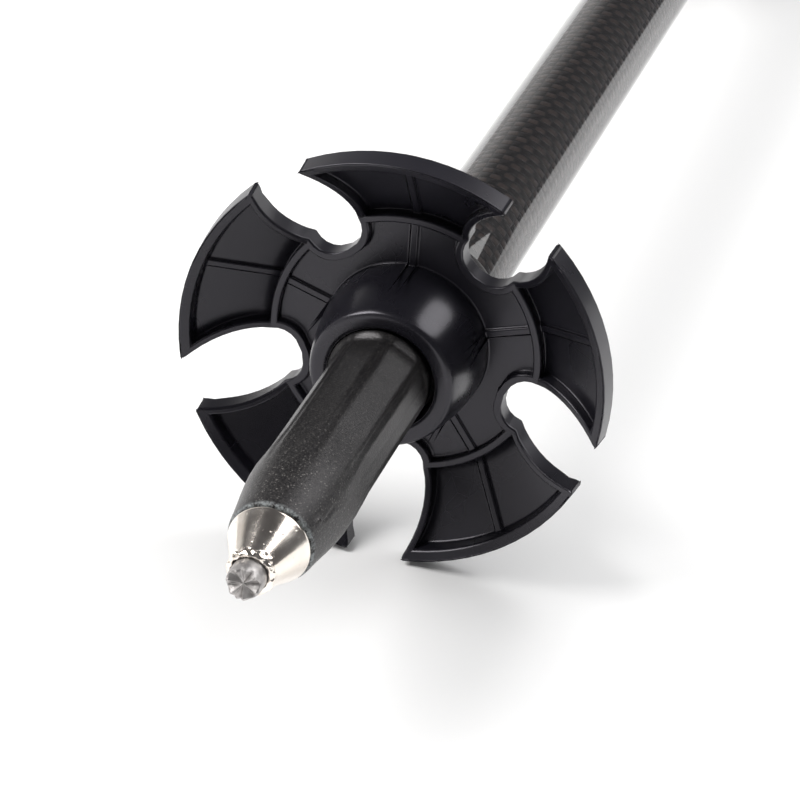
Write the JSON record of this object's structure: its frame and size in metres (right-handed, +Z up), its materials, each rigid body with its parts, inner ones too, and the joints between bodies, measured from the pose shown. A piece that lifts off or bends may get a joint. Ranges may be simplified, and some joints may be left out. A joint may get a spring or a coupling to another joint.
{
  "type": "ski pole",
  "caption": "Adjustable ski pole: woven carbon tubes with a lever clamp, five-petal snow basket, carbide tip, foam and rubber grip and wrist strap.",
  "frame": {"origin": "centre of the flat top of the grip cap", "axes": "+X along the pole, out of the top of the grip (the tip is at -X); the pole lies on its side with +Z up and the strap towards +Y"},
  "size_m": [1.05, 0.1632, 0.0646],
  "materials": {
    "carbide": "sintered carbide, dull grey",
    "nickel": "nickel-plated steel",
    "tip_plastic": "fine-grained black moulding",
    "basket_plastic": "semi-gloss black moulding",
    "carbon": "clear-coated woven carbon",
    "plug_plastic": "natural plastic",
    "bushing_plastic": "low-friction plastic",
    "clamp_plastic": "black glass-filled plastic",
    "lever_alloy": "black anodised alloy",
    "steel": "bright zinc-plated steel",
    "foam": "closed-cell foam",
    "trim": "satin anodised",
    "grip_rubber": "soft textured rubber",
    "grip_plastic": "satin black plastic",
    "webbing": "woven nylon webbing",
    "pad_fabric": "brushed fabric over foam"
  },
  "bodies": {
    "upper": {"upper_shaft": "carbon", "clamp_bushing": "clamp_plastic", "clamp_band": "clamp_plastic", "cam_saddle": "steel", "lever_barrel_nut": "steel", "screw_washer": "steel", "foam_end_ring": "grip_plastic", "foam_sleeve": "foam", "foam_top_ring": "trim", "grip_rubber": "grip_rubber", "grip_head": "grip_plastic", "grip_cap": "grip_plastic", "strap_pin": "steel"},
    "lower": {"carbide_tip": "carbide", "tip_ferrule": "nickel", "tip_body": "tip_plastic", "lower_shaft": "carbon", "lower_shaft_plug": "plug_plastic", "guide_bushing": "bushing_plastic"},
    "basket": {"basket": "basket_plastic"},
    "lever": {"clamp_lever": "lever_alloy"},
    "screw": {"tension_screw": "steel", "thumb_wheel": "clamp_plastic"},
    "strap": {"wrist_strap": "webbing", "strap_keeper": "grip_plastic", "wrist_pad": "pad_fabric"}
  },
  "joints": [
    {"name": "section_slide", "type": "slide", "parent": "upper", "child": "lower", "axis": [-1, 0, 0], "range_m": [0, 0.35]},
    {"name": "basket_turn", "type": "hinge", "parent": "lower", "child": "basket", "pos_m": [-0.985, 0, 0], "axis": [1, 0, 0], "continuous": true},
    {"name": "clamp_lever_swing", "type": "hinge", "parent": "upper", "child": "lever", "pos_m": [-0.745, -0.015, 0.0155], "axis": [1, 0, 0], "range_deg": [0, 115]},
    {"name": "tension_screw_turn", "type": "hinge", "parent": "upper", "child": "screw", "pos_m": [-0.745, -0.015, 0], "axis": [0, 0, 1], "continuous": true},
    {"name": "strap_swing", "type": "hinge", "parent": "upper", "child": "strap", "pos_m": [-0.0185, 0.008, 0], "axis": [0, 0, 1], "range_deg": [-15, 15]}
  ]
}
